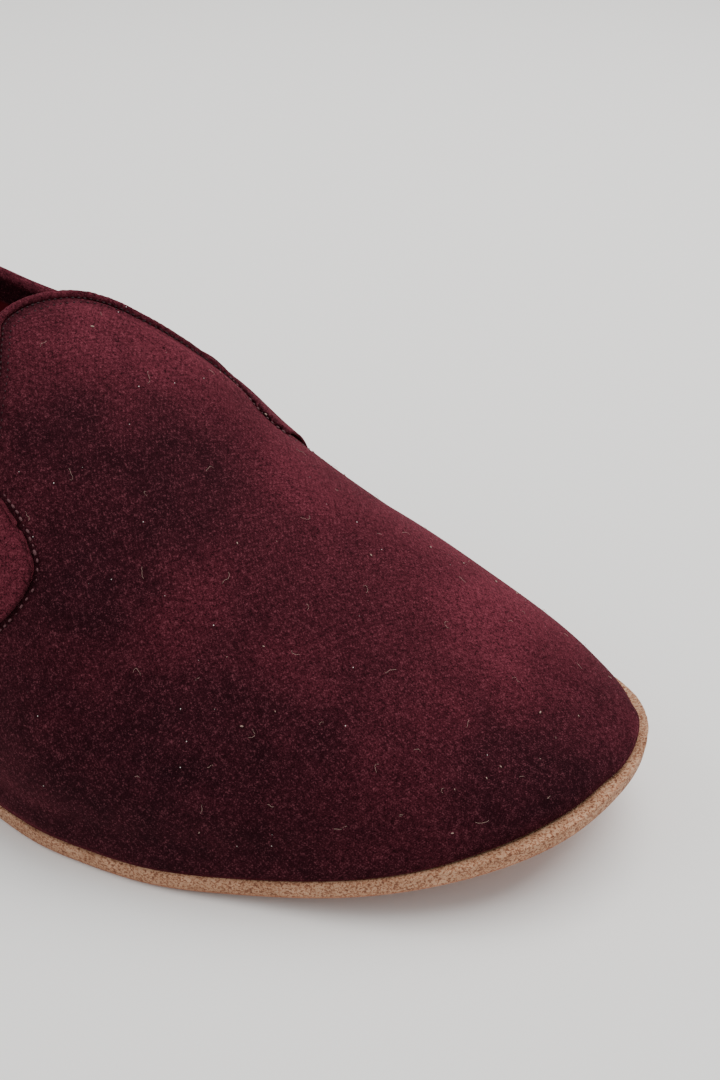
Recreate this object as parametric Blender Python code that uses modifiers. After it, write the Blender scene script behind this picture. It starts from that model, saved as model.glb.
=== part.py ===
# Velvet slip-on loafer, right shoe, in metres.
# +X is the toe, +Y the inner side of the foot and +Z up. The sole stands on z = 0, centred on the origin.

import math

import bmesh
import bpy
import numpy as np

# Driving dimensions of the shoe
SHOE_LENGTH = 0.293
BALL_WIDTH = 0.104
INSTEP_HEIGHT = 0.0845
TOE_SPRING = 0.0155
HEEL_HEIGHT = 0.012

# The shapes are drawn from the line through the toe tip; these move their bounding box over the origin
CENTRE_SHIFT_X = -0.00043
CENTRE_SHIFT_Y = 0.00745

# Thicknesses and fits
SOLE_THICKNESS = 0.004
UPPER_WALL = 0.002
QUARTER_THICKNESS = 0.001
INSOLE_THICKNESS = 0.0025
PIPING_RADIUS = 0.0011
GAP = 0.0003
INSOLE_GAP = 0.0009
QUARTER_GAP = 0.0005
INSOLE_TOE_EASE = 0.004
SOLE_LEDGE = 0.0025
SOLE_EDGE_ROUND = 0.0005
HEEL_TAPER = 0.0015

# Where the sole touches the floor and where the heel starts, as shares of the length behind the toe
TREAD_START = 0.29
TREAD_END = 0.40
HEEL_SEAT_START = 0.74
HEEL_BREAST = 0.76
SPRING_POWER = 1.8

# The back of the heel swells over the seat, then leans in above its fullest height
HEEL_CURVE = 0.007
HEEL_SWELL = 0.0015
HEEL_FULL_HEIGHT = 0.038
COLLAR_BACK_HEIGHT = 0.077
HEEL_CURVE_START = 0.70

# The side swells over the sole's edge within this height
SWELL_HEIGHT = 0.034

# The throat is cut askew: each metre towards the inner side brings it this much forward
THROAT_SKEW = 0.35

# Mesh densities
STATIONS = 40
AROUND = 28
SOLE_ACROSS = 6
CURVE_STEPS = 6
PIPING_POINTS = 25

# The piping runs between these angles around the section, and its place is looked for between
# these shares of the length behind the toe
PIPING_START_ANGLE = math.radians(50)
PIPING_END_ANGLE = math.radians(113)
PIPING_SEARCH = (0.30, 0.52)

# The quarters' sheet starts here, in front of its lobes, and the heel's middle lies this far across
QUARTERS_START = 0.30
HEEL_MIDDLE = -0.034 * BALL_WIDTH

# The heel block's taper starts here towards the back, and grows within these lengths
HEEL_ROUND_X = -0.35 * SHOE_LENGTH
HEEL_ROUND = 0.030
HEEL_TAPER_EASE = 0.010

# One row for each cross-section of the last. behind: share of the length behind the toe tip.
# outer and inner: share of the ball width from the centre line to the sole's edge.
# ridge: height over the sole, as a share of the instep height. power: 2 is an ellipse, more is squarer.
# lean: share of the ball width that the ridge lies towards the inner side.
# swell: share of the ball width that the side stands out.
SECTIONS = (
    # behind  outer   inner   ridge   lean    power  swell
    (0.0000,  0.000,  0.000,  0.0007, 0.000,  2.10,  0.000),
    (0.0068,  0.110,  0.101,  0.0283, 0.004,  2.15,  0.002),
    (0.0273,  0.233,  0.188,  0.0916, 0.010,  2.20,  0.004),
    (0.0683,  0.350,  0.274,  0.1900, 0.019,  2.30,  0.007),
    (0.1365,  0.459,  0.356,  0.3307, 0.030,  2.25,  0.012),
    (0.2048,  0.521,  0.409,  0.4689, 0.038,  2.20,  0.017),
    (0.2730,  0.567,  0.433,  0.6000, 0.048,  2.15,  0.021),
    (0.3100,  0.575,  0.426,  0.6731, 0.062,  2.20,  0.023),
    (0.3500,  0.574,  0.408,  0.7711, 0.080,  2.32,  0.026),
    (0.4096,  0.538,  0.365,  0.8988, 0.080,  2.32,  0.030),
    (0.5119,  0.466,  0.284,  1.0031, 0.060,  2.45,  0.034),
    (0.6143,  0.413,  0.250,  1.0710, 0.010,  2.50,  0.030),
    (0.7338,  0.370,  0.264,  1.0872, -0.022, 2.35,  0.020),
    (0.8362,  0.356,  0.288,  1.1071, -0.034, 2.20,  0.012),
    (0.9215,  0.339,  0.272,  1.1071, -0.034, 2.25,  0.006),
    (0.9727,  0.242,  0.175,  1.1071, -0.034, 2.30,  0.003),
    (0.9932,  0.143,  0.076,  1.1071, -0.034, 2.30,  0.001),
    (1.0000,  0.034,  -0.034, 1.1071, -0.034, 2.30,  0.000),
)

# The collar seen from the side, as shares of the length behind the toe and of the instep height.
# The tongue's edge climbs from the notch to the crest; the quarters' top line runs back to the heel.
TONGUE_EDGE = (
    # behind  height
    (0.3790, 0.742),
    (0.3880, 0.795),
    (0.4025, 0.862),
    (0.4205, 0.928),
    (0.4380, 0.974),
    (0.4475, 0.995),
    (0.4540, 1.014),
)
TOP_LINE = (
    # behind  height
    (0.3860, 0.752),
    (0.4020, 0.788),
    (0.4400, 0.832),
    (0.4900, 0.868),
    (0.5350, 0.905),
    (0.5800, 0.948),
    (0.6300, 0.953),
    (0.7000, 0.895),
    (0.7900, 0.815),
    (0.8800, 0.835),
    (1.0200, 0.925),
)

# The front of the quarters' overlay seen from the side, from the notch down to the sole
LOBE_FRONT = (
    # behind  height
    (0.3860, 0.752),
    (0.3710, 0.743),
    (0.3590, 0.721),
    (0.3470, 0.695),
    (0.3340, 0.660),
    (0.3255, 0.628),
    (0.3230, 0.600),
    (0.3250, 0.565),
    (0.3320, 0.520),
    (0.3500, 0.445),
    (0.3820, 0.335),
    (0.4230, 0.170),
    (0.4580, 0.000),
)

MATERIALS = {
    # name: base colour, roughness
    "velvet": ((0.085, 0.016, 0.024), 0.9),
    "sole_leather": ((0.40, 0.23, 0.13), 0.75),
    "heel_leather": ((0.30, 0.16, 0.085), 0.6),
    "sock_leather": ((0.20, 0.012, 0.022), 0.6),
}


def columns(table):
    return np.array(table, dtype=float).T


def smooth_between(keys, values, at):
    # A cubic through every row, with the slopes that its neighbours give.
    slopes = np.gradient(values, keys)
    i = np.clip(np.searchsorted(keys, at, side="right") - 1, 0, len(keys) - 2)
    step = keys[i + 1] - keys[i]
    t = (at - keys[i]) / step
    start = values[i] * (1 + 2 * t) * (1 - t) ** 2 + step * slopes[i] * t * (1 - t) ** 2
    end = values[i + 1] * t * t * (3 - 2 * t) + step * slopes[i + 1] * t * t * (t - 1)
    return start + end


def smooth_step(share):
    t = np.clip(share, 0.0, 1.0)
    return t * t * (3 - 2 * t)


def turn_of(behind):
    # Rows lie closer together at the rounded toe and heel, as an angle along a half circle.
    return np.arccos(1 - 2 * np.clip(behind, 0.0, 1.0))


def behind_of(turn):
    return (1 - np.cos(turn)) / 2


def section_values(behind):
    rows = columns(SECTIONS)
    keys = turn_of(rows[0])
    at = turn_of(behind)
    return [smooth_between(keys, rows[column], at) for column in range(1, len(rows))]


def sole_underside(behind):
    # Height of the outsole's lower face: toe spring, flat tread, rise to the heel seat.
    spring = TOE_SPRING * np.clip(1 - behind / TREAD_START, 0.0, 1.0) ** SPRING_POWER
    rise = HEEL_HEIGHT * smooth_step((behind - TREAD_END) / (HEEL_SEAT_START - TREAD_END))
    return spring + rise


def x_of(behind):
    return SHOE_LENGTH * (0.5 - behind)


def sole_edge(behind, side, inset):
    # side is -1 for the outer edge and +1 for the inner one.
    outer, inner, _, lean, _, _ = section_values(behind)
    width = np.where(side < 0, outer, inner) * BALL_WIDTH
    middle = (inner - outer) / 2 * BALL_WIDTH
    half = np.maximum(width - side * middle - inset, 0.0)
    return middle + side * half


def last_point(behind, angle):
    # A point of the upper's outer face; angle runs from the outer side over the ridge to the inner side.
    outer, inner, ridge, lean, power, swell = section_values(behind)
    inset = SOLE_LEDGE * smooth_step(np.minimum(behind, 1 - behind) / 0.012)
    side = -np.sign(np.cos(angle))
    base = sole_underside(behind) + SOLE_THICKNESS + GAP
    crown = base + ridge * INSTEP_HEIGHT
    crest = lean * BALL_WIDTH
    edge = np.where(side < 0, -outer, inner) * BALL_WIDTH - side * inset
    reach = np.abs(np.cos(angle)) ** (2 / power)
    lift = np.abs(np.sin(angle)) ** (2 / power)
    z = base + (crown - base) * lift
    rise = np.clip((z - base) / SWELL_HEIGHT, 0.0, 1.0)
    out = swell * BALL_WIDTH * 4 * rise * (1 - rise)
    y = crest + (edge - crest) * reach + side * out
    back = smooth_step((behind - HEEL_CURVE_START) / (1 - HEEL_CURVE_START))
    height = np.maximum(z - HEEL_FULL_HEIGHT, 0.0) / (COLLAR_BACK_HEIGHT - HEEL_FULL_HEIGHT)
    forward = HEEL_CURVE * height * height - HEEL_SWELL * 4 * rise * (1 - rise)
    x = x_of(behind) - SOLE_LEDGE * (1 - 2 * behind) + back * forward
    return np.array([x, y, z])


def face_normal(behind, angle):
    # Outward direction of the last, from its slopes along and around.
    tiny = 1e-4
    further = np.minimum(behind + tiny, 1.0)
    nearer = np.maximum(behind - tiny, 0.0)
    along = last_point(further, angle) - last_point(nearer, angle)
    around = last_point(behind, angle + tiny) - last_point(behind, angle - tiny)
    normal = np.cross(around, along, axis=0)
    return normal / np.maximum(np.linalg.norm(normal, axis=0), 1e-12)


def offset_point(behind, angle, distance):
    # A point this far outside the upper's outer face, which has no direction of its own at its very ends.
    inside = np.clip(behind, 0.002, 0.9995)
    around = np.clip(angle, 0.02, math.pi - 0.02)
    return last_point(behind, angle) + distance * face_normal(inside, around)


def new_material(name):
    colour, roughness = MATERIALS[name]
    material = bpy.data.materials.new(name)
    material.use_nodes = True
    shader = material.node_tree.nodes["Principled BSDF"]
    shader.inputs["Base Color"].default_value = (*colour, 1.0)
    shader.inputs["Roughness"].default_value = roughness
    shader.inputs["Metallic"].default_value = 0.0
    material.diffuse_color = (*colour, 1.0)
    return material


def new_collection(name):
    collection = bpy.data.collections.new(name)
    bpy.context.scene.collection.children.link(collection)
    return collection


def object_from(bm, name, collection, material=None):
    mesh = bpy.data.meshes.new(name)
    bm.to_mesh(mesh)
    bm.free()
    thing = bpy.data.objects.new(name, mesh)
    thing.location = (CENTRE_SHIFT_X, CENTRE_SHIFT_Y, 0.0)
    collection.objects.link(thing)
    if material:
        mesh.materials.append(material)
    return thing


def shaped_grid(rows, columns_across, place):
    # A flat grid whose points are moved by place(u, v), with u and v from 0 to 1.
    bm = bmesh.new()
    bmesh.ops.create_grid(bm, x_segments=rows, y_segments=columns_across, size=0.5)
    points = np.array([vertex.co[:] for vertex in bm.verts]).T
    moved = place(points[0] + 0.5, points[1] + 0.5)
    for vertex, point in zip(bm.verts, moved.T):
        vertex.co = point
    bmesh.ops.remove_doubles(bm, verts=bm.verts, dist=2e-6)
    bmesh.ops.reverse_faces(bm, faces=bm.faces)
    return bm


def wrapped_grid(start, end, distance):
    # The last's face between two shares of the length, this far outside the upper's outer face.
    def place(u, v):
        turn = turn_of(start) + (turn_of(end) - turn_of(start)) * u
        behind = behind_of(turn)
        points = offset_point(behind, v * math.pi, distance)
        points[1] = np.where(turn > math.pi - 1e-3, HEEL_MIDDLE, points[1])
        points[2] = np.maximum(points[2], sole_underside(behind) + SOLE_THICKNESS + GAP)
        return points

    rows = round(STATIONS * (turn_of(end) - turn_of(start)) / math.pi)
    return shaped_grid(rows, AROUND, place)


def level_grid(rows, inset, height_above_sole, start=0.0, toe_ease=0.0):
    # A sheet inside the sole's outline, this far above the sole's lower face, drawn in more at the toe.
    def place(u, v):
        turn = turn_of(start) + (math.pi - turn_of(start)) * u
        behind = behind_of(turn)
        inwards = inset + toe_ease * np.clip(1 - behind / TREAD_START, 0.0, 1.0)
        near = sole_edge(behind, -1.0, inwards)
        far = sole_edge(behind, 1.0, inwards)
        x = x_of(behind) - inwards * (1 - 2 * behind)
        z = sole_underside(behind) + height_above_sole
        return np.array([x, near + (far - near) * v, z])

    return shaped_grid(rows, SOLE_ACROSS, place)


def side_curve(table, steps):
    # The table's rows joined by a smooth curve, as x and z in metres.
    rows = columns(table)
    keys = np.arange(len(rows[0]), dtype=float)
    at = np.linspace(0.0, len(keys) - 1.0, (len(keys) - 1) * steps + 1)
    behind = smooth_between(keys, rows[0], at)
    height = smooth_between(keys, rows[1], at)
    return [(float(x_of(b)), float(h * INSTEP_HEIGHT)) for b, h in zip(behind, height)]


def side_prism(name, outline, collection):
    # A cutter with this outline from the side, wider than the shoe.
    bm = bmesh.new()
    corners = [bm.verts.new((x - THROAT_SKEW * BALL_WIDTH, -BALL_WIDTH, z)) for x, z in outline]
    face = bm.faces.new(corners)
    sides = bmesh.ops.extrude_face_region(bm, geom=[face])
    moved = [item for item in sides["geom"] if isinstance(item, bmesh.types.BMVert)]
    bmesh.ops.translate(bm, vec=(2 * THROAT_SKEW * BALL_WIDTH, 2 * BALL_WIDTH, 0), verts=moved)
    bmesh.ops.recalc_face_normals(bm, faces=bm.faces)
    cutter = object_from(bm, name, collection)
    cutter.hide_render = True
    cutter.display_type = "WIRE"
    return cutter


def add_wall(thing, thickness):
    wall = thing.modifiers.new("wall", "SOLIDIFY")
    wall.thickness = thickness
    wall.offset = -1.0
    wall.use_even_offset = True
    return wall


def add_boolean(thing, cutter, operation):
    cut = thing.modifiers.new(cutter.name, "BOOLEAN")
    cut.operation = operation
    cut.solver = "EXACT"
    cut.object = cutter
    return cut


def tongue_edge_x(height, back_by):
    # Where the tongue's edge is at this height, moved square to itself towards the opening.
    points = np.array(side_curve(TONGUE_EDGE, CURVE_STEPS))
    slope = np.gradient(points, axis=0)
    slope /= np.linalg.norm(slope, axis=1)[:, None]
    moved = points + back_by * np.stack([-slope[:, 1], slope[:, 0]], axis=1)
    return np.interp(height, moved[:, 1], moved[:, 0])


def piping_point(angle):
    # The middle of the tongue's cut edge at this angle around the section, found by halving.
    low, high = PIPING_SEARCH
    for _ in range(40):
        middle = (low + high) / 2
        x, y, z = offset_point(np.float64(middle), np.float64(angle), -UPPER_WALL / 2)
        if x > tongue_edge_x(z, PIPING_RADIUS + GAP) + THROAT_SKEW * y:
            low = middle
        else:
            high = middle
    return offset_point(np.float64(middle), np.float64(angle), -UPPER_WALL / 2)


def build_outsole(collection):
    sole = object_from(
        level_grid(STATIONS + 8, 0.0, SOLE_THICKNESS), "outsole", collection, new_material("sole_leather")
    )
    add_wall(sole, SOLE_THICKNESS).use_even_offset = False
    edge = sole.modifiers.new("edge", "BEVEL")
    edge.width = SOLE_EDGE_ROUND
    edge.segments = 1
    edge.limit_method = "ANGLE"
    edge.angle_limit = math.radians(50)
    return sole


def build_heel(collection):
    bm = level_grid(14, SOLE_EDGE_ROUND, -GAP, HEEL_BREAST)
    top = bm.faces[:]
    walls = bmesh.ops.extrude_face_region(bm, geom=top)
    for item in walls["geom"]:
        if isinstance(item, bmesh.types.BMVert):
            across = item.co.y - HEEL_MIDDLE
            item.co.z = 0.0
            item.co.x += HEEL_TAPER * smooth_step((HEEL_ROUND_X - item.co.x) / HEEL_ROUND)
            item.co.y -= math.copysign(HEEL_TAPER * smooth_step(abs(across) / HEEL_TAPER_EASE), across)
    bmesh.ops.recalc_face_normals(bm, faces=bm.faces)
    return object_from(bm, "heel", collection, new_material("heel_leather"))


def build_insole(collection):
    inset = SOLE_LEDGE + UPPER_WALL + INSOLE_GAP
    height = SOLE_THICKNESS + GAP + INSOLE_THICKNESS
    bm = level_grid(STATIONS, inset, height, toe_ease=INSOLE_TOE_EASE)
    insole = object_from(bm, "insole", collection, new_material("sock_leather"))
    add_wall(insole, INSOLE_THICKNESS).use_even_offset = False
    return insole


def build_upper(collection, cutters):
    upper = object_from(wrapped_grid(0.0, 1.0, 0.0), "upper", collection, new_material("velvet"))
    add_wall(upper, UPPER_WALL)
    tongue = side_curve(TONGUE_EDGE, CURVE_STEPS)
    top_line = side_curve(TOP_LINE, CURVE_STEPS)
    above = 2 * INSTEP_HEIGHT
    outline = tongue[::-1] + top_line + [(top_line[-1][0], above), (tongue[-1][0], above)]
    add_boolean(upper, side_prism("collar_cut", outline, cutters), "DIFFERENCE")
    return upper


def build_quarters(collection, cutters):
    bm = wrapped_grid(QUARTERS_START, 1.0, QUARTER_GAP + QUARTER_THICKNESS)
    quarters = object_from(bm, "quarters", collection, bpy.data.materials["velvet"])
    add_wall(quarters, QUARTER_THICKNESS)
    front = side_curve(LOBE_FRONT, CURVE_STEPS)
    top_line = side_curve(TOP_LINE, CURVE_STEPS)
    below = -HEEL_HEIGHT
    outline = front[::-1] + top_line + [(top_line[-1][0], below), (front[-1][0], below)]
    add_boolean(quarters, side_prism("quarter_outline", outline, cutters), "INTERSECT")
    return quarters


def build_tongue_piping(collection):
    curve = bpy.data.curves.new("tongue_piping", "CURVE")
    curve.dimensions = "3D"
    curve.bevel_depth = PIPING_RADIUS
    curve.bevel_resolution = 2
    curve.use_fill_caps = True
    angles = np.linspace(PIPING_START_ANGLE, PIPING_END_ANGLE, PIPING_POINTS)
    spline = curve.splines.new("POLY")
    spline.points.add(len(angles) - 1)
    for point, angle in zip(spline.points, angles):
        point.co = (*piping_point(angle), 1.0)
    piping = bpy.data.objects.new("tongue_piping", curve)
    piping.location = (CENTRE_SHIFT_X, CENTRE_SHIFT_Y, 0.0)
    curve.materials.append(bpy.data.materials["velvet"])
    collection.objects.link(piping)
    return piping


def main():
    for thing in list(bpy.data.objects):
        bpy.data.objects.remove(thing, do_unlink=True)
    loafer = new_collection("velvet_loafer")
    cutters = new_collection("cutters")
    build_outsole(loafer)
    build_heel(loafer)
    build_insole(loafer)
    build_upper(loafer, cutters)
    build_quarters(loafer, cutters)
    build_tongue_piping(loafer)


main()
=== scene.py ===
import math

import bmesh
import bpy
import numpy as np
from mathutils import Matrix, Vector, noise


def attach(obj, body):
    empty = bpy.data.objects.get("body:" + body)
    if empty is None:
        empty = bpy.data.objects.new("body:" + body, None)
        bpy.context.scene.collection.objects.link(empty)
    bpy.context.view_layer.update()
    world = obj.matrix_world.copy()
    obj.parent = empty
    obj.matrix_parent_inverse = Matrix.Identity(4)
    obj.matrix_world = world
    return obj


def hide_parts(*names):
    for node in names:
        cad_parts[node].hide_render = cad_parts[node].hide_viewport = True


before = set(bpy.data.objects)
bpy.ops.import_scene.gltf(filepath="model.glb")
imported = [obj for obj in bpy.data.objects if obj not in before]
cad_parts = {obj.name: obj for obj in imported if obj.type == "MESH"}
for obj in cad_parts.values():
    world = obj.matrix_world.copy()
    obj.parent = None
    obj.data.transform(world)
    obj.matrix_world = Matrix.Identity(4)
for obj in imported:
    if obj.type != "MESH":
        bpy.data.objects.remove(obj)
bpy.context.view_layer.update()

# The right shoe in metres: +X toe, +Y inner side, +Z up, the same named sizes as the solids
shoe = {
    "length": 0.293,
    "ballWidth": 0.104,
    "instepHeight": 0.0845,
    "toeSpring": 0.0155,
    "heelHeight": 0.012,
    "middle": (-0.00043, 0.00745, 0.0),
    "soleThickness": 0.004,
    "gap": 0.0003,
    "soleLedge": 0.0025,
    "sideOver": 0.0019,
    "toeOver": 0.0006,
    "treadStart": 0.29,
    "treadEnd": 0.40,
    "heelSeatStart": 0.74,
    "heelBreast": 0.76,
    "springPower": 1.8,
    "heelCurve": 0.007,
    "heelSwell": 0.0015,
    "heelFullHeight": 0.038,
    "collarBackHeight": 0.077,
    "heelCurveStart": 0.70,
    "swellHeight": 0.034,
    "throatSkew": 0.35,
    "heelMiddle": -0.00354,
}

# behind: share of the length behind the toe tip. outer, inner, lean, swell: shares of the ball width.
# ridge: height over the sole, as a share of the instep height. power: 2 is an ellipse, more is squarer.
sections = (
    # behind  outer   inner   ridge   lean    power  swell
    (0.0000,  0.000,  0.000,  0.0007, 0.000,  2.10,  0.000),
    (0.0068,  0.110,  0.101,  0.0283, 0.004,  2.15,  0.002),
    (0.0273,  0.233,  0.188,  0.0916, 0.010,  2.20,  0.004),
    (0.0683,  0.350,  0.274,  0.1900, 0.019,  2.30,  0.007),
    (0.1365,  0.459,  0.356,  0.3307, 0.030,  2.25,  0.012),
    (0.2048,  0.521,  0.409,  0.4689, 0.038,  2.20,  0.017),
    (0.2730,  0.567,  0.433,  0.6000, 0.048,  2.15,  0.021),
    (0.3100,  0.575,  0.426,  0.6731, 0.062,  2.20,  0.023),
    (0.3500,  0.574,  0.408,  0.7711, 0.080,  2.32,  0.026),
    (0.4096,  0.538,  0.365,  0.8988, 0.080,  2.32,  0.030),
    (0.5119,  0.466,  0.284,  1.0031, 0.060,  2.45,  0.034),
    (0.6143,  0.413,  0.250,  1.0710, 0.010,  2.50,  0.030),
    (0.7338,  0.370,  0.264,  1.0872, -0.022, 2.35,  0.020),
    (0.8362,  0.356,  0.288,  1.1071, -0.034, 2.20,  0.012),
    (0.9215,  0.339,  0.272,  1.1071, -0.034, 2.25,  0.006),
    (0.9727,  0.242,  0.175,  1.1071, -0.034, 2.30,  0.003),
    (0.9932,  0.143,  0.076,  1.1071, -0.034, 2.30,  0.001),
    (1.0000,  0.034,  -0.034, 1.1071, -0.034, 2.30,  0.000),
)

# Edges seen from the side: share of the length behind the toe, share of the instep height
tongueEdge = (
    (0.3790, 0.742), (0.3880, 0.795), (0.4025, 0.862), (0.4205, 0.928), (0.4380, 0.974),
    (0.4475, 0.995), (0.4540, 1.014),
)
topLine = (
    (0.3860, 0.752), (0.4020, 0.788), (0.4400, 0.832), (0.4900, 0.868), (0.5350, 0.905),
    (0.5800, 0.948), (0.6300, 0.953), (0.7000, 0.895), (0.7900, 0.815), (0.8800, 0.835),
    (1.0200, 0.925),
)
lobeFront = (
    (0.3860, 0.752), (0.3710, 0.743), (0.3590, 0.721), (0.3470, 0.695), (0.3340, 0.660),
    (0.3255, 0.628), (0.3230, 0.600), (0.3250, 0.565), (0.3320, 0.520), (0.3500, 0.445),
    (0.3820, 0.335), (0.4230, 0.170), (0.4580, 0.000),
)


# The shape of the last

def smoothBetween(keys, values, at):
    slopes = np.gradient(values, keys)
    i = np.clip(np.searchsorted(keys, at, side="right") - 1, 0, len(keys) - 2)
    step = keys[i + 1] - keys[i]
    t = (at - keys[i]) / step
    start = values[i] * (1 + 2 * t) * (1 - t) ** 2 + step * slopes[i] * t * (1 - t) ** 2
    end = values[i + 1] * t * t * (3 - 2 * t) + step * slopes[i + 1] * t * t * (t - 1)
    return start + end


def smoothStep(share):
    t = np.clip(share, 0.0, 1.0)
    return t * t * (3 - 2 * t)


def bump(share):
    # 1 at 0, falling smoothly to 0 at 1 on both sides
    return 1 - smoothStep(np.abs(share))


def turnOf(behind):
    return np.arccos(1 - 2 * np.clip(behind, 0.0, 1.0))


def behindOf(turn):
    return (1 - np.cos(turn)) / 2


sectionRows = np.array(sections).T
sectionTurns = turnOf(sectionRows[0])


def sectionValues(behind):
    at = turnOf(behind)
    return [smoothBetween(sectionTurns, sectionRows[k], at) for k in range(1, len(sectionRows))]


def soleUnderside(behind):
    spring = shoe["toeSpring"] * np.clip(1 - behind / shoe["treadStart"], 0.0, 1.0) ** shoe["springPower"]
    rise = smoothStep((behind - shoe["treadEnd"]) / (shoe["heelSeatStart"] - shoe["treadEnd"]))
    return spring + shoe["heelHeight"] * rise


def xOf(behind):
    return shoe["length"] * (0.5 - behind)


def soleEdge(behind, side, inset):
    outer, inner, _, _, _, _ = sectionValues(behind)
    width = np.where(side < 0, outer, inner) * shoe["ballWidth"]
    middle = (inner - outer) / 2 * shoe["ballWidth"]
    half = np.maximum(width - side * middle - inset, 0.0)
    return middle, half


def lastPoint(behind, angle):
    # The upper's outer face; angle runs from the outer side's feather over the ridge to the inner side's
    outer, inner, ridge, lean, power, swell = sectionValues(behind)
    ballWidth = shoe["ballWidth"]
    inset = shoe["soleLedge"] * smoothStep(np.minimum(behind, 1 - behind) / 0.012)
    side = -np.sign(np.cos(angle))
    base = soleUnderside(behind) + shoe["soleThickness"] + shoe["gap"]
    crown = base + ridge * shoe["instepHeight"]
    crest = lean * ballWidth
    edge = np.where(side < 0, -outer, inner) * ballWidth - side * inset
    reach = np.abs(np.cos(angle)) ** (2 / power)
    lift = np.abs(np.sin(angle)) ** (2 / power)
    z = base + (crown - base) * lift
    rise = np.clip((z - base) / shoe["swellHeight"], 0.0, 1.0)
    y = crest + (edge - crest) * reach + side * swell * ballWidth * 4 * rise * (1 - rise)
    back = smoothStep((behind - shoe["heelCurveStart"]) / (1 - shoe["heelCurveStart"]))
    height = np.maximum(z - shoe["heelFullHeight"], 0.0) / (shoe["collarBackHeight"] - shoe["heelFullHeight"])
    forward = shoe["heelCurve"] * height * height - shoe["heelSwell"] * 4 * rise * (1 - rise)
    x = xOf(behind) - shoe["soleLedge"] * (1 - 2 * behind) + back * forward
    return np.array([x, y, z])


def faceNormal(behind, angle):
    tiny = 1e-4
    ahead, astern = np.maximum(behind - tiny, 0.0), np.minimum(behind + tiny, 1.0)
    along = lastPoint(astern, angle) - lastPoint(ahead, angle)
    around = lastPoint(behind, angle + tiny) - lastPoint(behind, angle - tiny)
    normal = np.cross(around, along, axis=0)
    return normal / np.maximum(np.linalg.norm(normal, axis=0), 1e-12)


def offsetPoint(behind, angle, distance):
    normal = faceNormal(np.clip(behind, 0.002, 0.9995), np.clip(angle, 0.02, math.pi - 0.02))
    return lastPoint(behind, angle) + distance * normal


def sideCurve(table, steps=24):
    rows = np.array(table).T
    keys = np.arange(len(rows[0]), dtype=float)
    at = np.linspace(0.0, len(keys) - 1.0, (len(keys) - 1) * steps + 1)
    return xOf(smoothBetween(keys, rows[0], at)), smoothBetween(keys, rows[1], at) * shoe["instepHeight"]


tongueX, tongueZ = sideCurve(tongueEdge)
lineX, lineZ = sideCurve(topLine)
lobeX, lobeZ = sideCurve(lobeFront)
notchZ = tongueZ[0]


def tongueXAt(z):
    return np.interp(z, tongueZ, tongueX)


def topLineZAt(x):
    return np.interp(x, lineX[::-1], lineZ[::-1])


def lobeXAt(z):
    order = np.argsort(lobeZ)
    return np.interp(z, lobeZ[order], lobeX[order])


def sideX(points):
    # The throat is cut askew: how far forward a point is, as the cut sees it
    return points[0] - shoe["throatSkew"] * points[1]


# Meshes

def clothSheet(name, rows, across, place, uvStart=(0.0, 0.0), layers=None, flatWidth=0.0, turnOver=True):
    # A grid whose points are moved by place(u, v). Its UV map holds millimetres along and across the cloth,
    # and layers(u, v, points) gives its attributes. A flatWidth stands in for the measured width.
    u, v = np.meshgrid(np.linspace(0, 1, rows + 1), np.linspace(0, 1, across + 1), indexing="ij")
    points = place(u, v)
    extra = layers(u, v, points) if layers else {}
    along = np.linalg.norm(np.diff(points, axis=1), axis=0)
    along = np.vstack([np.zeros(across + 1), np.cumsum(along, axis=0)])
    middle = across // 2
    over = np.linalg.norm(np.diff(points, axis=2), axis=0)
    over = np.hstack([np.zeros((rows + 1, 1)), np.cumsum(over, axis=1)])
    mapU = along * 1000 + uvStart[0]
    if flatWidth:
        mapV = (v - 0.5) * flatWidth + uvStart[1]
    else:
        mapV = (over - over[:, middle][:, None]) * 1000 + uvStart[1]
    bm = bmesh.new()
    uvLayer = bm.loops.layers.uv.new("cloth")
    bmesh.ops.create_grid(bm, x_segments=rows, y_segments=across, size=0.5)
    flat = np.array([vertex.co[:2] for vertex in bm.verts])
    i = np.rint((flat[:, 0] + 0.5) * rows).astype(int)
    j = np.rint((flat[:, 1] + 0.5) * across).astype(int)
    places = (points + np.array(shoe["middle"])[:, None, None])[:, i, j].T
    mapUV = np.stack([mapU[i, j], mapV[i, j]], axis=1)
    for vertex, point in zip(bm.verts, places):
        vertex.co = point
    for key, values in extra.items():
        layer = bm.verts.layers.float.new(key)
        for vertex, value in zip(bm.verts, values[i, j]):
            vertex[layer] = float(value)
    bm.verts.index_update()
    for face in bm.faces:
        for loop in face.loops:
            loop[uvLayer].uv = mapUV[loop.vert.index]
    bmesh.ops.remove_doubles(bm, verts=bm.verts, dist=2e-6)
    if turnOver:
        bmesh.ops.reverse_faces(bm, faces=bm.faces)
    return pieceFrom(bm, name)


def addObject(name, data):
    made = bpy.data.objects.new(name, data)
    bpy.context.scene.collection.objects.link(made)
    return made


def pieceFrom(bm, name):
    mesh = bpy.data.meshes.new(name)
    bm.to_mesh(mesh)
    bm.free()
    piece = addObject(name, mesh)
    mesh.polygons.foreach_set("use_smooth", [True] * len(mesh.polygons))
    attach(piece, "root")
    return piece


def addWall(piece, thickness, offset=-1.0):
    # Offset -1 thickens the cloth inwards, 1 outwards
    wall = piece.modifiers.new("wall", "SOLIDIFY")
    wall.thickness = thickness
    wall.offset = offset
    wall.use_even_offset = False
    wall.use_rim = True


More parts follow.
